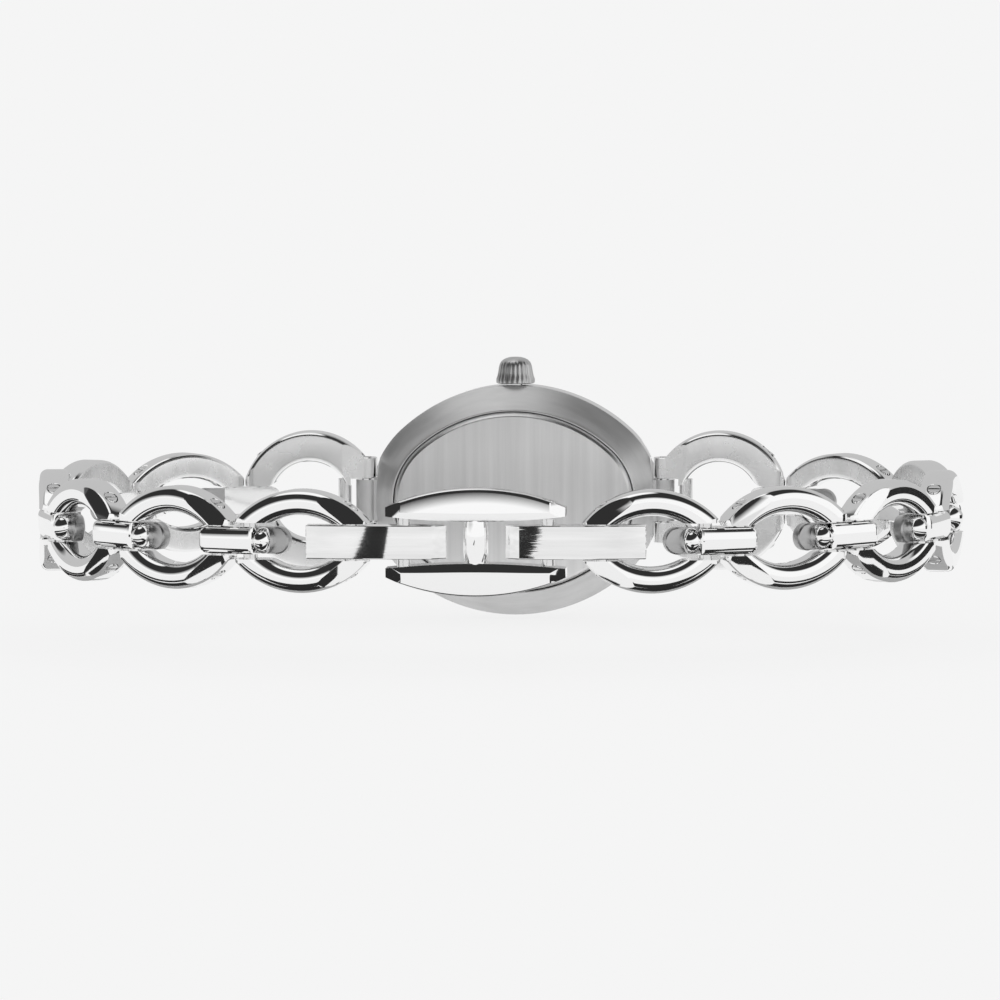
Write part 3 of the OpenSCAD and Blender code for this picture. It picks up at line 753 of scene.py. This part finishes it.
def blade_mesh():
    """A bar curved along the wrist, whose clasp end rolls inwards."""
    length = blade_to - blade_from
    swing = math.degrees(math.asin(length / 2 / blade_bend_r))
    sag = blade_bend_r * (1 - math.cos(math.radians(swing)))
    lean = swing * blade_end_lean
    shape = Outline(X, Y, (blade_from, -blade_half_t), 0)
    shape.go(length - blade_end_r).bend(blade_end_r, 90 + lean, 12)
    shape.to((blade_from + 0.9 * length, blade_half_t - 0.62 * sag))
    shape.turn(180 - lean).bend(blade_bend_r, swing * 1.8, 24)
    bm = shape.thick(-blade_half_h, blade_half_h)
    return worked("blade", bm, edge=0.07, segments=3, crease=50)


set_both("blade_bar", blade_mesh(), 13, blade_steel, "brushed_steel", left_material=blade_mirror)


# ---------------------------------------------------------------- clasp frame

clasp_centre = Matrix.Translation((0, joint_place["clasp_frame"].y, 0))
clasp_half_len, clasp_half_h, clasp_half_t, clasp_gap = 6.25, 3.75, 1.1, 1.45
plate_outer_r, plate_inner_r, plate_deep, plate_front_w = 15.5, 56, 3.4, 2.3
plate_lean, plate_reach = 10.7, 27
back_soft, front_soft = 0.15, 0.14
gap_bevel_h, gap_bevel_tilt = 0.75, 25
# Each end's two slanting cuts: inset from the end, height above the gap and direction.
plate_end_cuts = ((1.5, 0.6, (0.34, -0.93, 0.15)), (0.9, 1.0, (0.34, -0.7, 0.6)))
clasp_pin_x, clasp_pin_r, clasp_pin_bottom = 5.0, 0.47, 1.7


def plate_mesh():
    """The upper plate: a lens with a front that leans back, a bevel at the gap and cut ends."""
    half, low = clasp_half_t, plate_outer_r - plate_deep
    lean = math.radians(plate_lean)
    lean_r = (plate_front_w - front_soft) / math.sin(lean)
    lean_h = lean_r * (1 - math.cos(lean))
    section = Outline(Z, -Y, (low, -half), 0)
    section.go(plate_deep - back_soft).bend(back_soft, 90, 5)
    section.go(2 * half - back_soft - lean_h - 0.2).bend(front_soft, 90 - plate_lean, 5)
    section.bend(lean_r, plate_lean, 14).to((low, half))
    bm = swept(section, (0, 0, clasp_half_h - plate_outer_r), plate_reach)
    for side in (1, -1):
        shave(bm, (side * clasp_half_len, 0, 0), side * X)
    shave(bm, (0, 0, 0.4), -Z)
    for side in (1, -1):
        for inset, height, away in plate_end_cuts:
            shave(bm, (side * (clasp_half_len - inset), -half, clasp_gap + height),
                  (side * away[0], away[1], away[2]))
    place = Matrix.Translation((0, 0, clasp_gap + plate_inner_r)) @ turned(90, "X")
    front_r = plate_inner_r - gap_bevel_h
    run = gap_bevel_h * math.tan(math.radians(gap_bevel_tilt))
    keep = lathe([(0, -2), (plate_inner_r, -2), (plate_inner_r, half - run),
                  (front_r, half), (front_r, 2), (0, 2)], place, steps=720)
    return worked("plate", outward(bm), keeps=[keep])


clasp_plates = mirrored_pair(plate_mesh())
set_piece("clasp_plates", clasp_plates, clasp_centre, "clasp_frame", chrome, "polished_steel",
          "clasp_frame")
clasp_pin_slope = math.asin(clasp_pin_x / plate_outer_r)
clasp_pin_top = clasp_half_h - plate_outer_r * (1 - math.cos(clasp_pin_slope)) + 0.03
for name, side, bottom in (("hinge_pin", -1, 0), ("catch_pins", 1, clasp_pin_bottom)):
    mesh = pin_mesh(side * clasp_pin_x, clasp_pin_top, side * clasp_pin_slope, clasp_pin_r,
                    bottom)
    set_piece(name, mesh, clasp_centre, "clasp_frame", pin_steel, "pin_steel", "clasp_pins")
cross_bar = lathe([(0, -1.6), (0.78, -1.6), (0.8, -1.3), (0.87, -0.7), (0.88, 0), (0.87, 0.7),
                   (0.8, 1.3), (0.78, 1.6), (0, 1.6)])
set_piece("cross_bar", worked("bar", cross_bar, edge=0), clasp_centre, "clasp_frame", chrome,
          "polished_steel", crisp=30)


# ---------------------------------------------------------------- head

def paint(material, *names):
    """Gives one finish to CAD nodes, which keep their own shape."""
    for name in names:
        nodes[name].data.materials.clear()
        nodes[name].data.materials.append(material)


def back_bevel(normal, centre):
    return normal.y < -0.3


paint(pin_steel, "catch_studs", "catch_spring", "lug_bars", "crown_tube", "stem", "setting_lever")
paint(dial_face, "dial")
paint(hand_steel, "hour_hand", "minute_hand")
paint(seal_plastic, "crystal_gasket")
paint(seal_rubber, "back_gasket")
paint(brass, "main_plate", "minute_wheel")
paint(bridge_steel, "train_bridge")
paint(board_green, "circuit_board")
paint(copper, "coil")
paint(cell_steel, "battery")
paint(holder_white, "movement_holder")

# The case's oval is four tangent arcs, each with its centre: two at its ends, two at its sides.
case_half_len, end_cx, side_cy = 10.6, 3.6, 3.929
arc_split = math.degrees(math.atan2(side_cy, end_cx))
oval_arcs = [(end_cx * X, arc_split), (-side_cy * Z, 180 - 2 * arc_split),
             (-end_cx * X, 2 * arc_split), (side_cy * Z, 180 - 2 * arc_split),
             (end_cx * X, arc_split)]


def crowned(start, end, bulge, steps=8):
    """Points between two profile corners that bulge to the left of the way between them."""
    run, rise = end[0] - start[0], end[1] - start[1]
    length = math.hypot(run, rise)
    return [(start[0] + run * share - rise / length * bulge * 4 * share * (1 - share),
             start[1] + rise * share + run / length * bulge * 4 * share * (1 - share))
            for share in (step / steps for step in range(steps + 1))]


def oval_sweep(profile, ring=True, soft=0.06):
    """Carries an edge profile of (inset, height) points round the case's oval."""
    bm = bmesh.new()
    line = [bm.verts.new((case_half_len - inset, height, 0)) for inset, height in profile]
    pairs = list(zip(line, line[1:])) + ([(line[-1], line[0])] if ring else [])
    part = line + [bm.edges.new(pair) for pair in pairs]
    for centre, degrees in oval_arcs:
        part = bmesh.ops.spin(bm, geom=part, cent=centre, axis=-Y, angle=math.radians(degrees),
                              steps=round(degrees / 2.5), use_merge=False)["geom_last"]
    bmesh.ops.remove_doubles(bm, verts=bm.verts, dist=WELD)
    close_holes(bm)
    outward(bm)
    corners = [edge for edge in bm.edges if edge.calc_face_angle(0) > math.radians(20)]
    round_edges(bm, corners, soft, 3)
    return bm


stem_y, tube_r, tube_from, tube_to = 2.9, 0.65, 4.8, 9.4
lug_x, lug_y, lug_half_len = 10.9, 2.2, 1.5
neck_in, neck_out, neck_half = 1.25, 0.2, 0.55
groove_r, groove_half_len = lug_r + 0.27, knuckle_top + 0.15


def case_mesh():
    """The case's ring, with lugs in grooves for the first links and a hole for the crown."""
    flank = crowned((1.68, 0.15), (0, 1.9), -0.07)
    ring = oval_sweep(flank + [(0, 4.2), (0.4, 4.6), (2.6, 4.6), (2.6, 1.05), (1.8, 1.05),
                               (1.8, 0.15)])
    cuts, adds = [], []
    for side in (1, -1):
        at = (side * lug_x, lug_y)
        near, far = sorted((side * (lug_x - neck_in), side * (lug_x + neck_out)))
        cuts.append(rod(groove_r, -groove_half_len, groove_half_len, at, segments=96))
        adds.append(rod(lug_r, -lug_half_len, lug_half_len, at))
        adds.append(block((near, lug_y - neck_half, -lug_half_len),
                          (far, lug_y + neck_half, lug_half_len)))
    cuts.append(rod(tube_r, tube_from, tube_to, at=(0, stem_y)))
    return worked("case", ring, cuts=cuts, adds=adds, edge=0)


def place_on_head(name, bm, body, material, slot, node):
    """A piece given in the case's own place, with the dial towards +Y."""
    mesh = worked(name, bm, edge=0)
    set_piece(name, mesh, Matrix.Identity(4), body, material, slot, node)


case_body_name = nodes["case_body"]["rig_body"]
set_piece("case_middle", case_mesh(), Matrix.Identity(4), case_body_name, chrome,
          "polished_steel", "case_body", second=satin_bevel, where=back_bevel)
cover = oval_sweep([(2.15, 0), (1.85, 0.3), (1.85, 0.8), (2.65, 0.8), (2.65, 1.7), (3.05, 1.7),
                    (3.05, 0.8)], ring=False)
place_on_head("back_cover", cover, case_body_name, satin, "brushed_steel", "case_back")
bezel = oval_sweep([(0.5, 4.6)] + crowned((0.5, 4.9), (1.8, 5.8), -0.12)
                   + [(2.4, 5.8), (2.4, 4.95), (2.85, 4.95), (2.85, 4.6)])
place_on_head("bezel_ring", bezel, case_body_name, chrome, "polished_steel", "bezel")
dome = oval_sweep([(6.4, 4.95), (2.67, 4.95), (2.67, 5.55), (2.8, 5.68), (3.2, 5.78),
                   (4.0, 5.86), (5.0, 5.92), (6.4, 5.95)], ring=False, soft=0.03)
place_on_head("domed_crystal", dome, nodes["crystal"]["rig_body"], crystal_glass,
              "crystal_glass", "crystal")

# The crown: fluted sides that narrow upwards to a dome.
crown_foot = 8.62
crown_profile = [(0, 0.6), (0.77, 0.6), (0.77, -0.13), (1.32, -0.13), (1.41, -0.07), (1.41, 0.2),
                 (1.33, 0.4), (1.27, 0.7), (1.22, 1.0), (1.17, 1.22), (1.08, 1.42), (0.92, 1.58),
                 (0.7, 1.7), (0.4, 1.78), (0, 1.81)]
flutes, flute_deep, flute_inner_r = 24, 0.025, 1.0
flute_foot, flute_top, flute_fade = 0.1, 1.5, 0.3


def crown_mesh():
    bm = lathe(crown_profile, steps=flutes * 8)
    for vert in bm.verts:
        x, y, height = vert.co
        if math.hypot(x, y) > flute_inner_r and flute_foot < height < flute_top:
            deep = flute_deep * (1 - math.cos(math.atan2(y, x) * flutes))
            deep *= min(1, (flute_top - height) / flute_fade)
            vert.co.x *= 1 - deep
            vert.co.y *= 1 - deep
    return worked("crown", bm, edge=0)


set_piece("fluted_crown", crown_mesh(), Matrix.Translation((0, stem_y, crown_foot)),
          nodes["crown"]["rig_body"], crown_steel, "polished_steel", "crown", crisp=30)

# The dial: bevelled batons, a printed track and ridged hands, modelled with the dial facing +Z.
dial_top, marker_reach = 4.05, (6.2, 4.4)


def round_the_dial(degrees, near, far, width, low, high, soft=0.0):
    """A block that points outwards at an angle, from near to far beyond the markers' outer line."""
    angle = math.radians(degrees)
    reach = 1 / math.hypot(math.cos(angle) / marker_reach[0], math.sin(angle) / marker_reach[1])
    bm = block((reach + near, -width / 2, low), (reach + far, width / 2, high))
    if soft:
        top = [edge for edge in bm.edges if min(vert.co.z for vert in edge.verts) > high - 1e-4]
        round_edges(bm, top, soft, 1)
    bmesh.ops.rotate(bm, verts=bm.verts, cent=(0, 0, 0), matrix=turned(degrees, "Z", 3))
    return bm


def baton(hour):
    """An hour marker, wider at each quarter."""
    width = 0.34 if hour % 3 == 0 else 0.24
    return round_the_dial(-30 * hour, near=-1.1, far=0, width=width, low=dial_top,
                          high=dial_top + 0.13, soft=0.08)


def tick(minute):
    """A stroke of the minute track, longer and wider at each hour."""
    far, width = (0.62, 0.12) if minute % 5 == 0 else (0.5, 0.05)
    return round_the_dial(6 * minute, near=0.3, far=far, width=width, low=dial_top - SLACK,
                          high=dial_top + 0.015)


batons = gathered([baton(hour) for hour in range(12)])
set_piece("hour_batons", worked("batons", batons, edge=0), TO_THE_DIAL,
          nodes["hour_markers"]["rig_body"], marker_steel, "marker_metal", "hour_markers")
ticks = gathered([tick(minute) for minute in range(60)])
set_piece("minute_track", worked("track", ticks, edge=0), TO_THE_DIAL,
          nodes["dial"]["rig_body"], track_ink, "dial_face")


def hand_ridge(name, length, width, top, degrees):
    """The facets on top of a hand, which rise to a point over its arbor."""
    tail, tip_half_w = -0.9, 0.06
    shape = Outline(X, Y, (tail, -width / 2), 0)
    shape.to((0, -width), (length, -tip_half_w), (length, tip_half_w), (0, width),
             (tail, width / 2))
    bm = shape.thick(top - SLACK, top + SLACK)
    upper = [face for face in bm.faces if face.normal.z > 0.9]
    bmesh.ops.poke(bm, faces=upper, offset=0.06)
    set_piece(name + "_facets", worked(name, bm, edge=0), TO_THE_DIAL @ turned(degrees, "Z"),
              nodes[name]["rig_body"], hand_steel, "hand_metal", crisp=2)


hand_ridge("hour_hand", length=2.9, width=0.34, top=4.32, degrees=-304)
hand_ridge("minute_hand", length=4.2, width=0.26, top=4.59, degrees=-48)


# ---------------------------------------------------------------- studio

PALE, BLACK = 0.913, 0.03
FLOOR_Z, FLOOR_SIZE, FLOOR_LIGHT = -8.6, 30000, 0.927
CARD_Z = FLOOR_Z + 0.05
LOOP_MID_Y = -17


def stage_object(name, bm, material, only_reflected=False):
    """A floor, card or tent, no part of the watch; some show only as reflections."""
    mesh = bpy.data.meshes.new(name)
    bmesh.ops.transform(bm, verts=bm.verts, matrix=Matrix.Scale(MM, 4))
    bm.to_mesh(mesh)
    bm.free()
    mesh.materials.append(material)
    thing = bpy.data.objects.new(name, mesh)
    bpy.context.scene.collection.objects.link(thing)
    if only_reflected:
        for kind in ("camera", "diffuse", "transmission", "volume_scatter", "shadow"):
            setattr(thing, "visible_" + kind, False)


def sheet(width, depth, place):
    bm = bmesh.new()
    bmesh.ops.create_grid(bm, x_segments=1, y_segments=1, size=0.5)
    return sized(bm, (width, depth, 1), place)


def disc(width, depth, place):
    bm = bmesh.new()
    bmesh.ops.create_circle(bm, cap_ends=True, segments=96, radius=0.5)
    return sized(bm, (width, depth, 1), place)


# The floor is matt for the light that falls on the watch, and an even pale tone to the eye.
f = finish("floor")
rays = f.node("ShaderNodeLightPath")
shown = rays["Is Camera Ray"] + rays["Is Glossy Ray"] + rays["Is Transmission Ray"]
seen = f.node("ShaderNodeMixShader", None, shown * 0.85, f.diffuse(PALE),
              f.emission(grey(1.0), FLOOR_LIGHT))["Shader"]
stage_object("floor", sheet(FLOOR_SIZE, FLOOR_SIZE, (0, 0, FLOOR_Z)), f.show(seen))

world = bpy.data.worlds.new("studio")
bpy.context.scene.world = world
f = Finish(world)
plain = f.node("ShaderNodeBackground", Color=grey(PALE), Strength=1.0)["Background"]
f.node("ShaderNodeOutputWorld", Surface=plain)

# The tent that polished metal reflects: white sides, a black band above them, a white roof and
# a grey rear half. Its bands tilt along the lean.
f = finish("tent")
lean = (-0.2095, -0.121, 0.970)
place = f.node("ShaderNodeVectorMath", {"operation": "NORMALIZE"},
               f.node("ShaderNodeTexCoord")["Object"])["Vector"]
height = f.node("ShaderNodeVectorMath", {"operation": "DOT_PRODUCT"}, place, lean)["Value"]
bands = f.ramp(height * 0.5 + 0.5, (0.0, 1.0), (0.635, 1.0), (0.70, BLACK), (0.955, BLACK),
               (0.97, 1.0), (1.0, 1.0))
behind = f.node("ShaderNodeSeparateXYZ", None, place)["Y"]
rear = f.ramp(behind * 0.5 + 0.5, (0.0, 0.0), (0.54, 0.0), (0.62, 1.0), (1.0, 1.0))
light = f.emission(f.between(rear, bands, grey(0.55)))
tent = bmesh.new()
bmesh.ops.create_uvsphere(tent, u_segments=96, v_segments=48, radius=1200)
stage_object("tent", tent, f.show(light), only_reflected=True)


def card(name, bm, level=BLACK):
    """A matt card that shows only as a reflection in polished metal."""
    f = finish(name)
    stage_object(name, bm, f.show(f.diffuse(level)), only_reflected=True)


def hoop(width, depth, rim, cut, away):
    """The part of a flat oval hoop round the bracelet that lies on one side of a line across it."""
    bm = disc(width, depth, (0, LOOP_MID_Y, CARD_Z))
    bmesh.ops.inset_region(bm, faces=bm.faces[:], thickness=rim, use_boundary=True,
                           use_even_offset=True)
    inner = max(bm.faces, key=lambda face: len(face.verts))
    bmesh.ops.delete(bm, geom=[inner], context="FACES")
    split(bm, (0, cut, 0), away, clear=True)
    return bm


card("card_line", hoop(88, 54, rim=6.8, cut=-8, away=Y))
card("card_under", hoop(73, 42, rim=8, cut=-8, away=Y), level=0.5)
card("card_back", hoop(96, 78, rim=6, cut=2, away=-Y), level=0.05)
card("card_strip", sheet(14, 100, (-22.7, -160, CARD_Z)))
for side in (1, -1):
    card(f"card_corner_{side}", disc(13, 13, (side * 16.6, -48.5, CARD_Z)))
    arc = hoop(102, 76, rim=6, cut=-8, away=Y)
    split(arc, (side * 13, 0, 0), -side * X, clear=True)
    card(f"card_arc_{side}", arc)
upright = sheet(24.5, 56, (0, 0, 0))
bmesh.ops.rotate(upright, verts=upright.verts, cent=(0, 0, 0), matrix=turned(90, "Y", 3))
bmesh.ops.translate(upright, verts=upright.verts, vec=(105, 5, 3.75))
card("card_side", upright)


# ---------------------------------------------------------------- camera

camera_at = Vector((51.595, -712.932, 54.921)) * MM
camera_aim = Vector((0.276, -16.866, 1.441)) * MM
camera_roll = 0.26
lens = bpy.data.cameras.new("camera")
lens.lens = 354.35
lens.sensor_width = 36
lens.clip_start = 0.05
lens.clip_end = 60
camera = bpy.data.objects.new("camera", lens)
bpy.context.scene.collection.objects.link(camera)
turn = (camera_aim - camera_at).to_track_quat("-Z", "Y").to_matrix().to_4x4()
camera.matrix_world = Matrix.Translation(camera_at) @ turn @ turned(-camera_roll, "Z")
bpy.context.scene.camera = camera
bpy.context.scene.view_settings.view_transform = "Standard"
